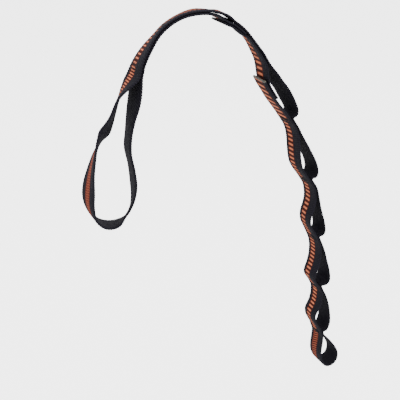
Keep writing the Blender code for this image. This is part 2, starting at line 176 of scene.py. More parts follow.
# ---------------------------------------------------------------- geometry
def catmull(rows, per_span=24):
    """Dense centripetal Catmull-Rom samples through rows of equal length."""
    rows = [tuple(r) if len(r) > 2 else (r[0], r[1], 0.0) for r in rows]
    first = tuple(2 * a - b for a, b in zip(rows[0], rows[1]))
    last = tuple(2 * a - b for a, b in zip(rows[-1], rows[-2]))
    pts = [first] + rows + [last]
    out = []
    for i in range(1, len(pts) - 2):
        p0, p1, p2, p3 = pts[i - 1:i + 3]

        def knot(t, a, b):
            return t + max(1e-6, math.hypot(b[0] - a[0], b[1] - a[1])) ** 0.5
        t0 = 0.0
        t1 = knot(t0, p0, p1)
        t2 = knot(t1, p1, p2)
        t3 = knot(t2, p2, p3)
        for k in range(per_span):
            t = t1 + (t2 - t1) * k / per_span
            row = []
            for c in range(3):
                a1 = (t1 - t) / (t1 - t0) * p0[c] + (t - t0) / (t1 - t0) * p1[c]
                a2 = (t2 - t) / (t2 - t1) * p1[c] + (t - t1) / (t2 - t1) * p2[c]
                a3 = (t3 - t) / (t3 - t2) * p2[c] + (t - t2) / (t3 - t2) * p3[c]
                b1 = (t2 - t) / (t2 - t0) * a1 + (t - t0) / (t2 - t0) * a2
                b2 = (t3 - t) / (t3 - t1) * a2 + (t - t1) / (t3 - t1) * a3
                row.append((t2 - t) / (t2 - t1) * b1 + (t - t1) / (t2 - t1) * b2)
            out.append(tuple(row))
    out.append(rows[-1])
    return out


def lengths(samples):
    s = [0.0]
    for a, b in zip(samples, samples[1:]):
        s.append(s[-1] + math.hypot(b[0] - a[0], b[1] - a[1]))
    return s


def at_length(samples, s, want):
    """Sample of a dense route at an arc length."""
    if want <= 0.0:
        return samples[0]
    for i in range(1, len(s)):
        if s[i] >= want:
            f = (want - s[i - 1]) / max(1e-9, s[i] - s[i - 1])
            return tuple(a + (b - a) * f
                         for a, b in zip(samples[i - 1], samples[i]))
    return samples[-1]


def trimmed(samples, start, end):
    """The stretch of a dense route between two arc lengths."""
    s = lengths(samples)
    inner = [p for p, q in zip(samples, s) if start + 1e-6 < q < end - 1e-6]
    return [at_length(samples, s, start)] + inner + [at_length(samples, s, end)]


def lean(degrees):
    """Unit vectors along the runner and to its pocket side."""
    a = math.radians(degrees)
    return (math.sin(a), -math.cos(a)), (math.cos(a), math.sin(a))


def tack_point(name, along, out):
    x, z, angle = TACKS[name]
    d, n = lean(angle)
    return (x + d[0] * along + n[0] * out, z + d[1] * along + n[1] * out)


def hook(name):
    """Points of the tight turn from a pocket's bottom into its tack, in order
    of travel: along the bottom towards the runner, then down into the tack."""
    x, z, angle = TACKS[name]
    d, n = lean(angle)
    ex, ez = tack_point(name, 1.5, LAYER)
    cx, cz = ex + n[0] * HOOK_RADIUS, ez + n[1] * HOOK_RADIUS
    total = 90.0 + angle
    pts = []
    steps = 6
    for k in range(steps, -1, -1):
        t = math.radians(total * k / steps)
        pts.append((cx + HOOK_RADIUS * (-n[0] * math.cos(t) - d[0] * math.sin(t)),
                    cz + HOOK_RADIUS * (-n[1] * math.cos(t) - d[1] * math.sin(t))))
    return pts


def spine_at(x):
    for i in range(1, len(spine)):
        if spine[i][0] >= x:
            f = (x - spine[i - 1][0]) / (spine[i][0] - spine[i - 1][0])
            return spine_s[i - 1] + (spine_s[i] - spine_s[i - 1]) * f
    return spine_s[-1]


spine = catmull(SPINE)
spine_s = lengths(spine)
half = HINGE_GAP / 2.0
s_tack0 = spine_at(SHOULDER_TACK_X)
s_hinge_left = spine_at(SHOULDER_HINGE_X)
s_tack1 = spine_at(ARCH_LEFT_TACK_X)
s_tack2 = spine_at(ARCH_RIGHT_TACK_X)
s_hinge_right = spine_at(CREST_HINGE_X)
s_lens_end = spine_at(LENS_END_X)
s_tack3 = spine_at(CREST_TACK_X)
s_loop_hinge = s_tack0 - TACK_LENGTH / 2.0 - 0.5 - half
s_crest_hinge = s_tack3 + TACK_LENGTH / 2.0 + 0.5 + half
THIRD = LAYER + WEB_THICK + LAYER_GAP


def on_spine(s, off):
    """A point beside the spine: off is towards its underside."""
    p = at_length(spine, spine_s, s)
    a = at_length(spine, spine_s, s - 0.25)
    b = at_length(spine, spine_s, s + 0.25)
    d = math.hypot(b[0] - a[0], b[1] - a[1])
    tx, tz = (b[0] - a[0]) / d, (b[1] - a[1]) / d
    t = math.radians(p[2])
    # the layer lies off along the twisted face normal; its in-plane share
    k = math.cos(t)
    return (p[0] + tz * off * k, p[1] - tx * off * k, p[2],
            -math.sin(t) * off)


def lens_amount(s):
    f = (s - s_hinge_right) / (s_lens_end - s_hinge_right)
    return LENS_GAP / 2.0 * math.sin(math.pi * min(1.0, max(0.0, f))) ** 2


def spine_rows(s0, s1, off, step=1.5):
    n = max(2, int(round((s1 - s0) / step)))
    rows = []
    for k in range(n + 1):
        s = s0 + (s1 - s0) * k / n
        rows.append(on_spine(s, off(s) if callable(off) else off))
    return rows


class Path:
    """Evenly spaced stations along a route with their local frames.  Rows are
    (x, z, twist, y) in millimetres and degrees."""

    def __init__(self, rows, side, step=STEP, smooth=1.0):
        rows = [tuple(r) + (0.0,) * (4 - len(r)) for r in rows]
        a = np.array(rows, float)
        d = np.hypot(np.diff(a[:, 0]), np.diff(a[:, 1]))
        keep = np.concatenate([[True], d > 1e-5])
        a = a[keep]
        s = np.concatenate([[0], np.cumsum(np.hypot(np.diff(a[:, 0]),
                                                    np.diff(a[:, 1])))])
        n = max(4, int(round(s[-1] / step)))
        g = np.linspace(0, s[-1], n + 1)
        p = np.stack([np.interp(g, s, a[:, c]) for c in range(4)], 1)
        if smooth > 0:
            r = int(math.ceil(3 * smooth / step))
            k = np.exp(-0.5 * (np.arange(-r, r + 1) * step / smooth) ** 2)
            k /= k.sum()
            q = p.copy()
            for c in range(4):
                ext = np.concatenate([2 * p[0, c] - p[r:0:-1, c], p[:, c],
                                      2 * p[-1, c] - p[-2:-r - 2:-1, c]])
                q[:, c] = np.convolve(ext, k, "valid")
            q[0], q[-1] = p[0], p[-1]
            p = q
        self.s = np.concatenate([[0], np.cumsum(np.hypot(
            np.diff(p[:, 0]), np.diff(p[:, 1])))])
        self.length = float(self.s[-1])
        self.p = p
        tx = np.gradient(p[:, 0])
        tz = np.gradient(p[:, 1])
        m = np.hypot(tx, tz)
        tx, tz = tx / m, tz / m
        nx, nz = -tz * side, tx * side
        a = np.radians(p[:, 2])
        zero = np.zeros_like(a)
        self.centre = np.stack([p[:, 0], p[:, 3], p[:, 1]], 1)
        self.wide = np.stack([np.sin(a) * nx, np.cos(a), np.sin(a) * nz], 1)
        self.face = np.stack([np.cos(a) * nx, -np.sin(a), np.cos(a) * nz], 1)
        self.along = np.stack([tx, zero, tz], 1)


COLS = np.array([-0.988, -0.955, -0.88, -0.74, -0.58, -0.42, -0.27, -0.13,
                 0.0, 0.13, 0.27, 0.42, 0.58, 0.74, 0.88, 0.955, 0.988])


def swell(u):
    return (1.0 - np.abs(u) ** 18) ** 0.5


def ribbon(name, path, mat, tracer_side, period=6.5, centre=2.4, phase=0.0,
           thick=WEB_THICK, seed=0, tone_and_painted_light=1.0, slant=0.0, fine=0.0,
           band=4.4):
    """A closed ribbon with picot edges and woven relief.  tracer_side is +1
    or -1 for the face that carries the tracer stripe, 0 for none."""
    rng = np.random.default_rng(seed)
    s = path.s
    n = len(s)
    per = period(s) if callable(period) else np.full(n, float(period))
    cen = centre(s) if callable(centre) else np.full(n, float(centre))
    cycles = np.concatenate([[0], np.cumsum(np.diff(s) / (0.5 * (
        per[1:] + per[:-1])))]) + phase
    wob = np.interp(s, np.arange(0, s[-1] + 14, 7.0),
                    rng.normal(0, 0.10, len(np.arange(0, s[-1] + 14, 7.0))))
    wave = 0.5 + 0.5 * np.cos(2 * np.pi * s / PICOT)
    wave2 = 0.5 + 0.5 * np.cos(2 * np.pi * (s / PICOT + 0.5))
    w_hi = HALF + 0.00 + 0.85 * wave ** 0.8 + wob
    w_lo = HALF + 0.00 + 0.85 * wave2 ** 0.8 - wob
    t_half = np.interp(s, [0, 12, 24, s[-1] - 24, s[-1] - 12, s[-1]],
                       [WEB_THICK, WEB_THICK, thick, thick, WEB_THICK,
                        WEB_THICK]) / 2.0 + 0.02
    ring_u, ring_f = [], []
    for u in COLS:
        ring_u.append(u)
        ring_f.append(1.0)
    ring_u.append(1.0)
    ring_f.append(0.0)
    for u in COLS[::-1]:
        ring_u.append(u)
        ring_f.append(-1.0)
    ring_u.append(-1.0)
    ring_f.append(0.0)
    m = len(ring_u)
    verts = np.zeros((n, m, 3))
    weave = np.zeros((n, m, 3))
    trace = np.zeros((n, m, 3))
    pattern_and_painted_light = np.zeros((n, m, 3))
    # per-strand painted light level: paints the whole strand lighter or darker for how light falls on it
    painted_light_levels = tone_and_painted_light(s) if callable(tone_and_painted_light) else np.full(n, float(tone_and_painted_light))
    bands = band(s) if callable(band) else np.full(n, float(band))
    fines = fine(s) if callable(fine) else np.full(n, float(fine))
    for j, (u, f) in enumerate(zip(ring_u, ring_f)):
        width = np.where(u >= 0, w_hi, w_lo)
        lateral = u * width
        if abs(u) > 0.9:
            lateral = u * width
        t = f * t_half * (swell(u) if abs(u) < 1 else 0.0)
        relief = 0.0
        if f != 0.0:
            v = (lateral - cen) * 4.4 / bands
            in_tracer = (f * tracer_side > 0) * np.clip((4.6 - np.abs(v)) / 0.6,
                                                        0, 1)
            rib = 0.10 * np.cos(2 * np.pi * (s + 0.34 * np.abs(lateral)) / RIB)
            bar = 0.11 * np.clip(1.6 * np.cos(2 * np.pi * cycles) + 0.35, -1, 1)
            edge = np.clip((1.0 - abs(u)) / 0.10, 0, 1)
            relief = f * edge * (rib * (1 - in_tracer) + bar * in_tracer)
        verts[:, j] = (path.centre + path.wide * lateral[:, None]
                       + path.face * (t + relief)[:, None]
                       if np.ndim(t + relief) else
                       path.centre + path.wide * lateral[:, None]
                       + path.face * t)
        weave[:, j, 0] = s
        weave[:, j, 1] = lateral
        weave[:, j, 2] = f
        trace[:, j, 0] = cycles
        trace[:, j, 1] = (lateral - cen) * 4.4 / bands
        trace[:, j, 2] = f * tracer_side
        # x carries the painted light level, y the slant and z the fine look of the tracer
        pattern_and_painted_light[:, j, 0] = painted_light_levels
        pattern_and_painted_light[:, j, 1] = slant
        pattern_and_painted_light[:, j, 2] = fines
    idx = np.arange(n * m).reshape(n, m)
    quads = []
    a = idx[:-1, :]
    b = idx[1:, :]
    q = np.stack([a, np.roll(a, -1, 1), np.roll(b, -1, 1), b], 2).reshape(-1, 4)
    faces = [tuple(x) for x in q.tolist()]
    faces.append(tuple(idx[0][::-1].tolist()))
    faces.append(tuple(idx[-1].tolist()))
    mesh = bpy.data.meshes.new(name)
    mesh.from_pydata((verts.reshape(-1, 3) * MM).tolist(), [], faces)
    for nm, data in (("weave", weave), ("tracer", trace), ("pattern_and_painted_light", pattern_and_painted_light)):
        at = mesh.attributes.new(nm, "FLOAT_VECTOR", "POINT")
        at.data.foreach_set("vector", data.reshape(-1).astype(np.float32))
    mesh.validate(verbose=False)
    mesh.update()
    # faces point outwards
    import bmesh
    bm = bmesh.new()
    bm.from_mesh(mesh)
    if bm.calc_volume(signed=True) < 0:
        bmesh.ops.reverse_faces(bm, faces=bm.faces[:])
    bm.to_mesh(mesh)
    bm.free()
    mesh.materials.append(mat)
    mesh.shade_smooth()
    mesh.set_sharp_from_angle(angle=math.radians(55))
    ob = bpy.data.objects.new(name, mesh)
    bpy.context.scene.collection.objects.link(ob)
    return ob


def thread(name, points, radius, mat, sides=6):
    """A closed tube of thread along points in metres."""
    cu = bpy.data.curves.new(name, "CURVE")
    cu.dimensions = "3D"
    cu.bevel_depth = radius
    cu.bevel_resolution = 1
    cu.use_fill_caps = True
    sp = cu.splines.new("POLY")
    sp.points.add(len(points) - 1)
    for p, q in zip(sp.points, points):
        p.co = (q[0], q[1], q[2], 1.0)
    tmp = bpy.data.objects.new(name + "_curve", cu)
    bpy.context.scene.collection.objects.link(tmp)
    dg = bpy.context.evaluated_depsgraph_get()
    mesh = bpy.data.meshes.new_from_object(tmp.evaluated_get(dg))
    mesh.name = name
    bpy.data.objects.remove(tmp, do_unlink=True)
    mesh.materials.clear()
    mesh.materials.append(mat)
    mesh.shade_smooth()
    ob = bpy.data.objects.new(name, mesh)
    bpy.context.scene.collection.objects.link(ob)
    return ob


# --------------------------------------------------------------- materials
def socket(nt, x):
    return x


class Nodes:
    def __init__(self, name):
        self.mat = bpy.data.materials.new(name)
        self.mat.use_nodes = True
        self.nt = self.mat.node_tree
        self.bsdf = self.nt.nodes["Principled BSDF"]

    def put(self, inp, v):
        if isinstance(v, bpy.types.NodeSocket):
            self.nt.links.new(v, inp)
        else:
            inp.default_value = v

    def math(self, op, a, b=0.0, c=0.0, clamp=False):
        n = self.nt.nodes.new("ShaderNodeMath")
        n.operation = op
        n.use_clamp = clamp
        self.put(n.inputs[0], a)
        self.put(n.inputs[1], b)
        self.put(n.inputs[2], c)
        return n.outputs[0]

    def smooth(self, x, lo, hi, out0=0.0, out1=1.0):
        n = self.nt.nodes.new("ShaderNodeMapRange")
        n.interpolation_type = "SMOOTHSTEP"
        self.put(n.inputs["Value"], x)
        n.inputs["From Min"].default_value = lo
        n.inputs["From Max"].default_value = hi
        n.inputs["To Min"].default_value = out0
        n.inputs["To Max"].default_value = out1
        return n.outputs["Result"]

    def mix(self, f, a, b):
        n = self.nt.nodes.new("ShaderNodeMix")
        n.data_type = "RGBA"
        self.put(n.inputs["Factor"], f)
        self.put(n.inputs[6], a)
        self.put(n.inputs[7], b)
        return n.outputs[2]

    def attribute(self, name):
        n = self.nt.nodes.new("ShaderNodeAttribute")
        n.attribute_name = name
        s = self.nt.nodes.new("ShaderNodeSeparateXYZ")
        self.nt.links.new(n.outputs["Vector"], s.inputs[0])
        return n.outputs["Vector"], s.outputs[0], s.outputs[1], s.outputs[2]

    def noise(self, vec, scale, detail=2.0, rough=0.5):
        n = self.nt.nodes.new("ShaderNodeTexNoise")
        self.nt.links.new(vec, n.inputs["Vector"])
        n.inputs["Scale"].default_value = scale
        n.inputs["Detail"].default_value = detail
        n.inputs["Roughness"].default_value = rough
        return n.outputs["Fac"]

    def bump(self, height, strength, distance):
        n = self.nt.nodes.new("ShaderNodeBump")
        n.inputs["Strength"].default_value = strength
        n.inputs["Distance"].default_value = distance
        self.nt.links.new(height, n.inputs["Height"])
        self.nt.links.new(n.outputs["Normal"], self.bsdf.inputs["Normal"])


def lin(r, g, b):
    """A linear reflectance."""
    return (r, g, b, 1.0)


# crest is the lighter black: it paints a highlight on the weave's rib crests and a sheen on the picot edges, and
# colours the light flecks of fuzz
def webbing_material(name, black, crest, bar_lo, bar_hi, gap, halo):
    m = Nodes(name)
    vec, s, u, f = m.attribute("weave")
    _, cyc, v, side = m.attribute("tracer")
    # its x is the strand's painted light level
    _, painted_light_level, slant, fine_look = m.attribute("pattern_and_painted_light")
    big = m.noise(vec, 0.045, 2.0, 0.5)
    mid = m.noise(vec, 0.5, 3.0, 0.6)
    fine = m.noise(vec, 3.2, 2.0, 0.6)
    absu = m.math("ABSOLUTE", u)
    absv = m.math("ABSOLUTE", v)
    # herringbone ribs of the ground weave
    ph = m.math("DIVIDE", m.math("MULTIPLY_ADD", absu, 0.34, s), RIB)
    rib = m.math("MULTIPLY_ADD", m.math("COSINE", m.math(
        "MULTIPLY", ph, 2 * math.pi)), 0.5, 0.5)
    # warp yarns run along the strap, weft cords across it
    warp = m.math("MULTIPLY_ADD", m.math("COSINE", m.math(
        "MULTIPLY", u, 2 * math.pi / 0.95)), 0.5, 0.5)
    weft = m.math("MULTIPLY_ADD", m.math("COSINE", m.math(
        "MULTIPLY", s, 2 * math.pi / 0.65)), 0.5, 0.5)
    ground = m.math("MULTIPLY", rib, m.math("MULTIPLY_ADD", warp, 0.5, 0.5))
    # the herringbone weave's rib crests are painted lighter than its troughs: a painted highlight on the raised
    # ribs
    g1 = m.mix(m.smooth(ground, 0.15, 0.9), black, crest)
    g1 = m.mix(m.smooth(big, 0.35, 0.7, 0.0, 0.35), g1, black)
    g1 = m.mix(m.smooth(fine, 0.55, 0.8, 0.0, 0.4), g1, crest)
    # the picot edges are painted a little greyer: a painted sheen along the edges
    g1 = m.mix(m.smooth(absu, 11.3, 12.9, 0.0, 0.45), g1, crest)
    # tracer: bars of dyed yarn with dark crossings between them
    column = m.math("MULTIPLY", m.math("GREATER_THAN", v, 0.0), 0.5)
    shift = m.math("MULTIPLY", column, fine_look)
    cph = m.math("FRACT", m.math("ADD", m.math("ADD", cyc, shift),
                                 m.math("MULTIPLY", v, slant)))
    tri = m.math("ABSOLUTE", m.math("SUBTRACT", cph, 0.5))
    wobble = m.math("MULTIPLY_ADD", mid, 0.16, -0.08)
    # where a strand is painted brighter, its painted light level above 1, the bars stand further apart
    apart = m.math("MULTIPLY", m.math("MAXIMUM", m.math(
        "SUBTRACT", painted_light_level, 1.0), 0.0), -0.20)
    height_of_bar = m.math("ADD", m.math("ADD", tri, wobble), apart)
    bar = m.smooth(height_of_bar, 0.17, 0.30)
    crown = m.smooth(height_of_bar, 0.22, 0.42)
    inside = m.smooth(m.math("MULTIPLY_ADD", mid, 0.8, absv), 4.3, 5.0, 1.0, 0.0)
    near = m.smooth(absv, 4.3, 6.4, 1.0, 0.0)
    front = m.smooth(side, 0.3, 0.7)
    yarn = m.math("MULTIPLY_ADD", m.math("COSINE", m.math(
        "MULTIPLY", v, 2 * math.pi / 1.05)), 0.5, 0.5)
    tone_and_painted_light = m.math("MULTIPLY", m.math("MULTIPLY_ADD", yarn, 0.45, 0.40),
                  m.math("MULTIPLY_ADD", mid, 1.3, 0.40), clamp=False)
    # painted light: the tracer's orange is scaled up or down by the strand's painted light level
    tone_and_painted_light = m.math("MULTIPLY", tone_and_painted_light, painted_light_level, clamp=False)
    flank = m.smooth(absv, 2.6, 4.4, 1.0, 0.25)
    tone_and_painted_light = m.math("MULTIPLY", tone_and_painted_light, m.math("MULTIPLY", crown, flank),
                  clamp=True)
    orange = m.mix(tone_and_painted_light, bar_lo, bar_hi)
    stripe = m.mix(bar, gap, orange)
    # the crossings fade where the yarns are packed finely
    mean = m.mix(m.math("MULTIPLY", fine_look, 0.45), stripe, bar_lo)
    ground2 = m.mix(m.math("MULTIPLY", m.math("MULTIPLY", near, front), 0.7),
                    g1, halo)
    colour = m.mix(m.math("MULTIPLY", inside, front), ground2, mean)
    m.nt.links.new(colour, m.bsdf.inputs["Base Color"])
    rough = m.smooth(mid, 0.3, 0.75, 0.62, 0.9)
    m.nt.links.new(rough, m.bsdf.inputs["Roughness"])
    m.bsdf.inputs["Specular IOR Level"].default_value = 0.10
    m.bsdf.inputs["Sheen Weight"].default_value = 0.012
    m.bsdf.inputs["Sheen Roughness"].default_value = 0.4
    m.bsdf.inputs["Sheen Tint"].default_value = (0.80, 0.76, 1.0, 1.0)
    height = m.math("ADD", m.math("MULTIPLY", ground, 0.55),
                    m.math("MULTIPLY", weft, 0.25))
    height = m.math("ADD", height, m.math("MULTIPLY", fine, 0.35))
    height = m.math("ADD", height, m.math("MULTIPLY", m.math(
        "MULTIPLY", m.math("MULTIPLY", inside, front), yarn), 0.5))
    m.bump(height, 0.55, 0.00035)
    return m.mat


def thread_material(name, dark, light):
    m = Nodes(name)
    n = m.nt.nodes.new("ShaderNodeTexCoord")
    a = m.noise(n.outputs["Object"], 900.0, 3.0, 0.6)
    b = m.noise(n.outputs["Object"], 120.0, 2.0, 0.5)
    col = m.mix(m.smooth(a, 0.35, 0.75), dark, light)
    col = m.mix(m.smooth(b, 0.4, 0.7, 0.0, 0.4), col, dark)
    m.nt.links.new(col, m.bsdf.inputs["Base Color"])
    rough = m.smooth(b, 0.3, 0.7, 0.45, 0.7)
    m.nt.links.new(rough, m.bsdf.inputs["Roughness"])
    m.bsdf.inputs["Specular IOR Level"].default_value = 0.14
    m.bsdf.inputs["Sheen Weight"].default_value = 0.01
    m.bump(a, 0.4, 0.0002)
    return m.mat


def melted_material(name):
    m = Nodes(name)
    n = m.nt.nodes.new("ShaderNodeTexCoord")
    a = m.noise(n.outputs["Object"], 260.0, 4.0, 0.6)
    b = m.noise(n.outputs["Object"], 1200.0, 2.0, 0.6)
    col = m.mix(m.smooth(a, 0.3, 0.62), lin(0.030, 0.025, 0.020), lin(0.105, 0.088, 0.066))
    col = m.mix(m.smooth(b, 0.5, 0.8, 0.0, 0.5), col, lin(0.012, 0.011, 0.011))
    m.nt.links.new(col, m.bsdf.inputs["Base Color"])
    rough = m.smooth(b, 0.3, 0.7, 0.3, 0.6)
    m.nt.links.new(rough, m.bsdf.inputs["Roughness"])
    m.bump(a, 0.6, 0.0005)
    return m.mat


WEB = webbing_material("woven_webbing", lin(0.0075, 0.0068, 0.0100),
                       lin(0.0165, 0.0150, 0.0235), lin(0.20, 0.036, 0.020),
                       lin(0.92, 0.290, 0.140), lin(0.040, 0.008, 0.006),
                       lin(0.036, 0.008, 0.009))
THREAD = thread_material("sewing_thread", lin(0.0060, 0.0055, 0.0075),
                         lin(0.020, 0.018, 0.025))
MELTED = melted_material("heat_sealed_end")

# ----------------------------------------------------------------- ribbons
made = {}


def rows_catmull(rows, per_span=16):
    """Catmull-Rom through rows that may carry a y value as a fourth entry."""
    rows = [tuple(r) + (0.0,) * (4 - len(r)) for r in rows]
    flat = catmull([r[:3] for r in rows], per_span)
    ys = []
    for i in range(len(rows) - 1):
        for k in range(per_span):
            f = k / per_span
            f = f * f * (3 - 2 * f)
            ys.append(rows[i][3] + (rows[i + 1][3] - rows[i][3]) * f)
    ys.append(rows[-1][3])
    return [p + (y,) for p, y in zip(flat, ys)]


def tp(name, along, out):
    return tack_point(name, along, out) + (0.0, 0.0)


def declare(ob, body=None, hinge=None, replaces=()):
    """Attaches to one body, or bakes its placement into its mesh when a hinge is given; hides the CAD parts it
    replaces.
    """
    if hinge:
        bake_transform(ob)
    else:
        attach(ob, body)
    if replaces:
        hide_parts(*replaces)
    return ob


def spine_hinge(s, reach=2.4):
    a = on_spine(s - reach, 0.0)
    b = on_spine(s + reach, 0.0)
    return ((a[0] * MM, 0.0, a[1] * MM), (b[0] * MM, 0.0, b[1] * MM))


def tack_hinge(name, reach=2.2):
    a = tack_point(name, TACK_END + half - reach, 0.0)
    b = tack_point(name, TACK_END + half + reach, 0.0)
    return ((a[0] * MM, 0.0, a[1] * MM), (b[0] * MM, 0.0, b[1] * MM))


# shoulder
a, b = spine_hinge(s_hinge_left)
for layer, off, tside, rep in (
        ("outer", -LAYER, -1, ("shoulder_outer_web",)),
        ("inner", LAYER, 1, ("shoulder_inner_web",))):
    path = Path(spine_rows(s_tack0, s_tack1, off), -1)
    # the shoulder's tracer is painted a little lighter: painted light
    ob = ribbon("shoulder_%s_webbing" % layer, path, WEB, tside, period=4.3,
                centre=lambda s: np.interp(s, [0, 20, 30], [3.6, 3.6, 3.0]),
                band=lambda s: np.interp(s, [0, 12, 30], [4.0, 4.3, 5.4]),
                seed=11, tone_and_painted_light=1.25)
    declare(ob, hinge=("shoulder", "arch", a, b), replaces=rep)

# arch
for layer, off, tside, rep in (("outer", -LAYER, -1, ("arch_outer_web",)),
                               ("inner", LAYER, 1, ("arch_inner_web",))):
    path = Path(spine_rows(s_tack1, s_tack2, off), -1)
    # the arch's tracer is painted lighter: a painted highlight on the strap's top
    ob = ribbon("arch_%s_webbing" % layer, path, WEB, tside, period=4.3,
                centre=3.0,
                band=lambda s: np.interp(s, [0, 12, 24, 60], [5.6, 6.6, 8.0, 8.4]),
                seed=12, tone_and_painted_light=1.45)
    declare(ob, body="arch", replaces=rep)

# crest, with the narrow lens between its layers
a, b = spine_hinge(s_hinge_right)
s_end = s_tack3 + TACK_LENGTH / 2.0 + 0.5
path = Path(spine_rows(s_tack2, s_tack3, lambda s: -LAYER - lens_amount(s)), -1)
# the crest's outer layer is painted darker: painted shade
ob = ribbon("crest_outer_webbing", path, WEB, -1, period=4.3, centre=3.0, band=6.0, seed=13,
            tone_and_painted_light=0.6)
declare(ob, hinge=("arch", "crest", a, b), replaces=("crest_outer_web",))
path = Path(spine_rows(s_tack2, s_end, lambda s: LAYER + lens_amount(s)), -1)
ob = ribbon("crest_inner_webbing", path, WEB, 1, period=4.3, centre=2.6, seed=14)
declare(ob, hinge=("arch", "crest", a, b), replaces=("crest_inner_web",))
path = Path(spine_rows(s_hinge_right + 9.0, s_tack3 - TACK_LENGTH / 2.0 - 1.2,
                       lambda s: THIRD + 0.1 + lens_amount(s)), -1)
ob = ribbon("crest_turned_tail_webbing", path, WEB, 0, seed=15)
declare(ob, body="crest", replaces=("crest_turned_tail_web",))

# big loop
rows = ([on_spine(s_tack0, -LAYER), on_spine(s_tack0 - 3.0, -LAYER)]
        + [r for r in BIG_LOOP]
        + [(p[0], p[1], -p[2], p[3]) for p in
           (on_spine(s_tack0 - 3.0, LAYER), on_spine(s_tack0, LAYER))])
path = Path(rows_catmull(rows), 1, smooth=1.6)
LOOP_LEFT = 150.0
# the big loop is painted darker along its length: painted shade
ob = ribbon("big_loop_webbing", path, WEB, -1, thick=2.55,
            period=lambda s: np.interp(s, [0, 30, 60, 400], [2.9, 2.9, 2.6, 2.6]),
            centre=lambda s: np.interp(s, [0, 40, 80, 400], [2.6, 1.0, -0.5, 0.0]),
            tone_and_painted_light=lambda s: np.interp(s, [0, 28, 60, 400], [1.1, 0.9, 0.5, 0.5]),
            fine=lambda s: np.interp(s, [0, 28, 60, 400], [0.0, 0.2, 1.0, 1.0]),
            seed=16)
hb, ha = spine_hinge(s_loop_hinge, 2.2)
declare(ob, hinge=("shoulder", "big_loop", ha, hb),
        replaces=("big_loop_left_upper_web", "big_loop_left_lower_web",
                  "big_loop_bottom_web", "big_loop_right_web"))

# pocket 1
a, b = spine_hinge(s_crest_hinge)
inner_start = on_spine(s_crest_hinge + half, LAYER + 0.6)
outer_start = on_spine(s_crest_hinge + half, -LAYER)
rows = (spine_rows(s_tack3 - TACK_LENGTH / 2.0 - 0.6, s_crest_hinge - half,
                   THIRD) + [inner_start] + UPPER_LAP)
path = Path(rows_catmull(rows), -1, smooth=1.4)
ob = ribbon("pocket_1_upper_lap_webbing", path, WEB, 1, period=6.5, centre=2.6,
            band=5.6, seed=17)
declare(ob, hinge=("crest", "pocket_1", a, b),
        replaces=("crest_lap_web", "pocket_1_upper_lap_web"))

rows = [p + (0.0,) for p in LOWER_LAP] + [
    tp("pocket_1", 0.0, -LAYER), tp("pocket_1", TACK_LENGTH / 2.0, -LAYER)]
path = Path(rows_catmull(rows), 1)
# the lower lap is painted a little lighter: painted light
ob = ribbon("pocket_1_lower_lap_webbing", path, WEB, -1, period=8.2, centre=2.0,
            band=8.6, seed=18, tone_and_painted_light=1.15)
declare(ob, body="pocket_1", replaces=("pocket_1_lower_lap_web",))
lower_path = path

rows = ([on_spine(s_tack3, -LAYER), on_spine(s_tack3 + TACK_LENGTH / 2.0,
                                             -LAYER), outer_start]
        + FIRST_POCKET + [p + (0.0,) for p in hook("pocket_1")]
        + [tp("pocket_1", TACK_LENGTH / 2.0, LAYER)])
path = Path(rows_catmull(rows), -1, smooth=0.7)
ob = ribbon("pocket_1_loop_webbing", path, WEB, -1, period=6.5, centre=1.0,
            seed=19)
declare(ob, hinge=("crest", "pocket_1", a, b),
        replaces=("pocket_1_loop_web",))

# pockets 2 to 5
ORDER = ["pocket_1", "pocket_2", "pocket_3", "pocket_4", "pocket_5"]
CENTRES = {"pocket_2": 3.4, "pocket_3": 2.9, "pocket_4": 3.1, "pocket_5": 1.9}
for k, (above, name) in enumerate(zip(ORDER, ORDER[1:])):
    a, b = tack_hinge(above)
    rows = ([tp(above, TACK_LENGTH / 2.0, -LAYER), tp(above, TACK_END, -LAYER),
             tp(above, NEXT_START, -LAYER), tp(above, NEXT_START + 3.0, -LAYER)]
            + MAIN[name] + [tp(name, 0.0, -LAYER),
                            tp(name, TACK_LENGTH / 2.0, -LAYER)])
    path = Path(rows_catmull(rows), 1, smooth=1.6)
    ob = ribbon(name + "_main_webbing", path, WEB, -1, period=6.1,
                centre=CENTRES[name], phase=0.37 * k, seed=20 + k)
    declare(ob, hinge=(above, name, a, b), replaces=(name + "_main_web",))
    rows = ([tp(above, TACK_LENGTH / 2.0, LAYER), tp(above, TACK_END, LAYER),
             tp(above, NEXT_START, LAYER), tp(above, NEXT_START + 2.0, LAYER + 0.1)]
            + POCKET[name] + hook(name)
            + [tp(name, TACK_LENGTH / 2.0, LAYER)])
    path = Path(rows_catmull(rows), 1, smooth=0.7)
    ob = ribbon(name + "_loop_webbing", path, WEB, 1, period=6.4, centre=1.0,
                seed=30 + k)
    declare(ob, hinge=(above, name, a, b), replaces=(name + "_loop_web",))

# end loop
a, b = tack_hinge("pocket_5")
rows = ([tp("pocket_5", TACK_LENGTH / 2.0, -LAYER), tp("pocket_5", TACK_END, -LAYER),
         tp("pocket_5", NEXT_START, -LAYER)] + END_MAIN + END_BOTTOM + END_SIDE
        + [tp("pocket_5", NEXT_START, LAYER), tp("pocket_5", TACK_END, LAYER),
           tp("pocket_5", TACK_LENGTH / 2.0, LAYER)])
path = Path(rows_catmull(rows), 1, smooth=1.4)
# the end loop is painted much darker: painted shade
ob = ribbon("end_loop_webbing", path, WEB, -1, thick=2.5, period=4.2, centre=2.2, seed=40, tone_and_painted_light=0.34, slant=-0.15,
            band=5.2, fine=0.0)
declare(ob, hinge=("pocket_5", "end_loop", a, b),
        replaces=("end_loop_main_web", "end_loop_bottom_web",
                  "end_loop_side_web"))


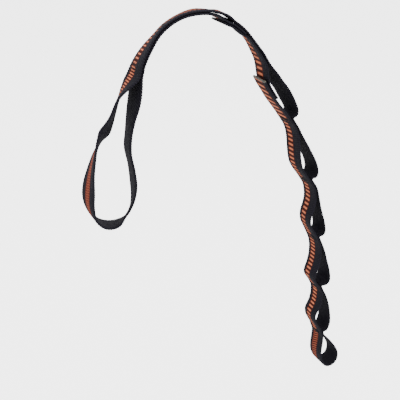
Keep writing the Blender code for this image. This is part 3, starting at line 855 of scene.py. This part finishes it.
# --------------------------------------------------------------- bar tacks
def tack_thread(name, node, body, frames, lift, rows_n=15, seed=0,
                radius=0.27):
    """Zigzag rows of thread across the webbing.  frames(t) gives centre,
    width and outward directions for t from 0 to 1 along the tack."""
    rng = np.random.default_rng(seed)
    pts = []
    h = TACK_WIDTH / 2.0
    for r in range(rows_n + 1):
        t = r / rows_n
        c, w, o, _ = frames(t)
        sgn = 1 if r % 2 == 0 else -1
        jit = rng.normal(0, 0.18)
        edge = h + jit
        steps = 7
        prev_t = max(0.0, (r - 1) / rows_n)
        for q in range(steps + 1):
            f = q / steps
            tt = min(1.0, t + 0.55 * f / rows_n)
            c, w, o, _ = frames(tt)
            lat = (-edge + 2 * edge * f) * sgn
            sink = 0.45 * (abs(2 * f - 1) ** 8)
            bow = 0.05 * math.sin(9 * f + r)
            p = c + w * lat + o * (lift - sink + bow)
            pts.append(tuple(p * MM))
    ob = thread(name, pts, radius * MM, THREAD)
    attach(ob, body)
    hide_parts(node)
    return ob


def spine_frames(s_mid):
    def get(t):
        s = s_mid - TACK_LENGTH / 2.0 + TACK_LENGTH * t
        p = at_length(spine, spine_s, s)
        a = at_length(spine, spine_s, s - 0.25)
        b = at_length(spine, spine_s, s + 0.25)
        d = math.hypot(b[0] - a[0], b[1] - a[1])
        tx, tz = (b[0] - a[0]) / d, (b[1] - a[1]) / d
        ph = math.radians(p[2])
        nx, nz = tz, -tx
        wide = Vector((math.sin(ph) * nx, math.cos(ph), math.sin(ph) * nz))
        face = Vector((math.cos(ph) * nx, -math.sin(ph), math.cos(ph) * nz))
        return Vector((p[0], 0.0, p[1])), wide, face, None
    return get


def flip(frames, sign):
    def get(t):
        c, w, o, x = frames(t)
        return c, w, o * sign, x
    return get


SURFACE = LAYER + WEB_THICK / 2.0 + 0.12
for k, (name, body, s_mid, extra) in enumerate((
        ("shoulder", "shoulder", s_tack0, 0.0),
        ("arch_left", "arch", s_tack1, 0.0),
        ("arch_right", "arch", s_tack2, 0.0),
        ("crest", "crest", s_tack3, WEB_THICK + LAYER_GAP))):
    fr = spine_frames(s_mid)
    tack_thread(name + "_needle_stitches", name + "_tack_needle_thread", body,
                flip(fr, -1), SURFACE - 0.08, rows_n=8 if k < 3 else 12,
                radius=0.17 if k < 3 else 0.22, seed=50 + k)
    tack_thread(name + "_bobbin_stitches", name + "_tack_bobbin_thread", body,
                flip(fr, 1), SURFACE + extra, seed=60 + k)


def leg_frames(name, start):
    x, z, angle = TACKS[name]
    d, n = lean(angle)

    def get(t):
        along = start + (TACK_LENGTH - start) * t
        return (Vector((x + d[0] * along, 0.0, z + d[1] * along)),
                Vector((0.0, 1.0, 0.0)), Vector((n[0], 0.0, n[1])), None)
    return get


for k, name in enumerate(ORDER):
    tack_thread(name + "_needle_stitches", name + "_tack_needle_thread", name,
                flip(leg_frames(name, 0.0), -1), SURFACE - 0.05, rows_n=11,
                radius=0.22, seed=70 + k)
    tack_thread(name + "_bobbin_stitches", name + "_tack_bobbin_thread", name,
                leg_frames(name, 3.1), SURFACE, rows_n=9, seed=80 + k)

# rows of lock stitches along the lap
for label, y in (("far", 8.6), ("near", -8.6)):
    P = lower_path
    stitches = []
    s0 = 5.0
    k = 0
    pieces = []
    pts = []
    while s0 + 2.6 < 27.0:
        for q in range(9):
            f = q / 8
            s = s0 + 2.7 * f
            i = int(np.argmin(np.abs(P.s - s)))
            dip = 0.42 * (abs(2 * f - 1) ** 4)
            p = (P.centre[i] + P.wide[i] * y
                 - P.face[i] * (WEB_THICK / 2.0 + 0.22 - dip))
            pts.append(tuple(Vector(p) * MM))
        s0 += 3.0
    ob = thread("lap_seam_%s_stitches" % label, pts, 0.24 * MM, THREAD)
    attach(ob, "pocket_1")
    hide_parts("lap_seam_%s_thread" % label)


# ------------------------------------------------------- heat-sealed ends
def sealed_end(name, path, at_start, body, hinge=None, size=1.5, seed=0):
    """The melted lip of a cut end: a lumpy bead along the cut edge."""
    rng = np.random.default_rng(seed)
    i = 0 if at_start else -1
    c = path.centre[i]
    out = -path.along[i] if at_start else path.along[i]
    w, f = path.wide[i], path.face[i]
    n, m = 40, 12
    verts, faces = [], []
    lump = np.interp(np.linspace(0, 1, n + 1), np.linspace(0, 1, 12),
                     rng.uniform(0.8, 1.2, 12))
    for a in range(n + 1):
        u = (a / n * 2 - 1)
        end = math.sqrt(max(0.0, 1 - abs(u) ** 14))
        rt = (WEB_THICK / 2.0 + 0.18) * end * (0.85 + 0.15 * lump[a]) + 0.02
        rl = size * 0.62 * end * lump[a] + 0.02
        for b in range(m):
            q = 2 * math.pi * b / m
            p = (c + w * u * (HALF + 0.1) + f * math.cos(q) * rt
                 + out * (math.sin(q) * rl + 0.1))
            verts.append(tuple(Vector(p) * MM))
    for a in range(n):
        for b in range(m):
            faces.append((a * m + b, a * m + (b + 1) % m,
                          (a + 1) * m + (b + 1) % m, (a + 1) * m + b))
    faces.append(tuple(range(m))[::-1])
    faces.append(tuple(n * m + b for b in range(m)))
    mesh = bpy.data.meshes.new(name)
    mesh.from_pydata(verts, [], faces)
    import bmesh
    bm = bmesh.new()
    bm.from_mesh(mesh)
    bmesh.ops.recalc_face_normals(bm, faces=bm.faces[:])
    bm.to_mesh(mesh)
    bm.free()
    mesh.materials.append(MELTED)
    mesh.shade_smooth()
    ob = bpy.data.objects.new(name, mesh)
    bpy.context.scene.collection.objects.link(ob)
    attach(ob, body)
    return ob


sealed_end("lower_lap_sealed_end", lower_path, True, "pocket_1", size=2.6, seed=5)

# ------------------------------------------------------------------- stage
floor_mat = Nodes("pale_floor")
floor_mat.bsdf.inputs["Base Color"].default_value = (0.93, 0.93, 0.93, 1.0)
floor_mat.bsdf.inputs["Roughness"].default_value = 0.9
floor_mat.bsdf.inputs["Emission Color"].default_value = (1.0, 1.0, 1.0, 1.0)
floor_mat.bsdf.inputs["Emission Strength"].default_value = 3.0


def stage_piece(name, mesh):
    """Seen plainly white, without throwing its own light on the strap."""
    mesh.materials.append(floor_mat.mat)
    ob = bpy.data.objects.new(name, mesh)
    bpy.context.scene.collection.objects.link(ob)
    ob.visible_diffuse = False
    ob.visible_glossy = False
    ob.visible_shadow = False
    return ob


mesh = bpy.data.meshes.new("floor")
S = 6.0
mesh.from_pydata([(-S, -S, -0.62), (S, -S, -0.62), (S, S, -0.62), (-S, S, -0.62)],
                 [], [(0, 1, 2, 3)])
stage_piece("floor", mesh)
verts, faces = [], []
for k in range(65):
    q = 2 * math.pi * k / 64
    for z in (-0.63, 7.0):
        verts.append((5.9 * math.cos(q), 5.9 * math.sin(q), z))
for k in range(64):
    faces.append((2 * k, 2 * k + 1, 2 * k + 3, 2 * k + 2))
mesh = bpy.data.meshes.new("backdrop")
mesh.from_pydata(verts, [], faces)
stage_piece("backdrop", mesh)


def area_light(name, loc, target, size, power, colour=(1, 1, 1)):
    li = bpy.data.lights.new(name, "AREA")
    li.shape = "DISK"
    li.size = size
    li.energy = power
    li.color = colour
    ob = bpy.data.objects.new(name, li)
    bpy.context.scene.collection.objects.link(ob)
    ob.location = loc
    d = Vector(target) - Vector(loc)
    ob.rotation_mode = "QUATERNION"
    ob.rotation_quaternion = d.to_track_quat("-Z", "Y")
    return ob


area_light("key", (-0.9, -1.1, 1.4), (0.0, 0.0, -0.25), 1.4, 17)
area_light("fill", (1.5, -1.3, 0.6), (0.05, 0.0, -0.25), 1.6, 10)
area_light("top", (0.1, 0.5, 1.8), (0.05, 0.0, -0.25), 1.6, 14)
world = bpy.data.worlds.new("studio")
bpy.context.scene.world = world
world.use_nodes = True
bg = world.node_tree.nodes["Background"]
bg.inputs["Color"].default_value = (1.0, 1.0, 1.0, 1.0)
bg.inputs["Strength"].default_value = 1.2
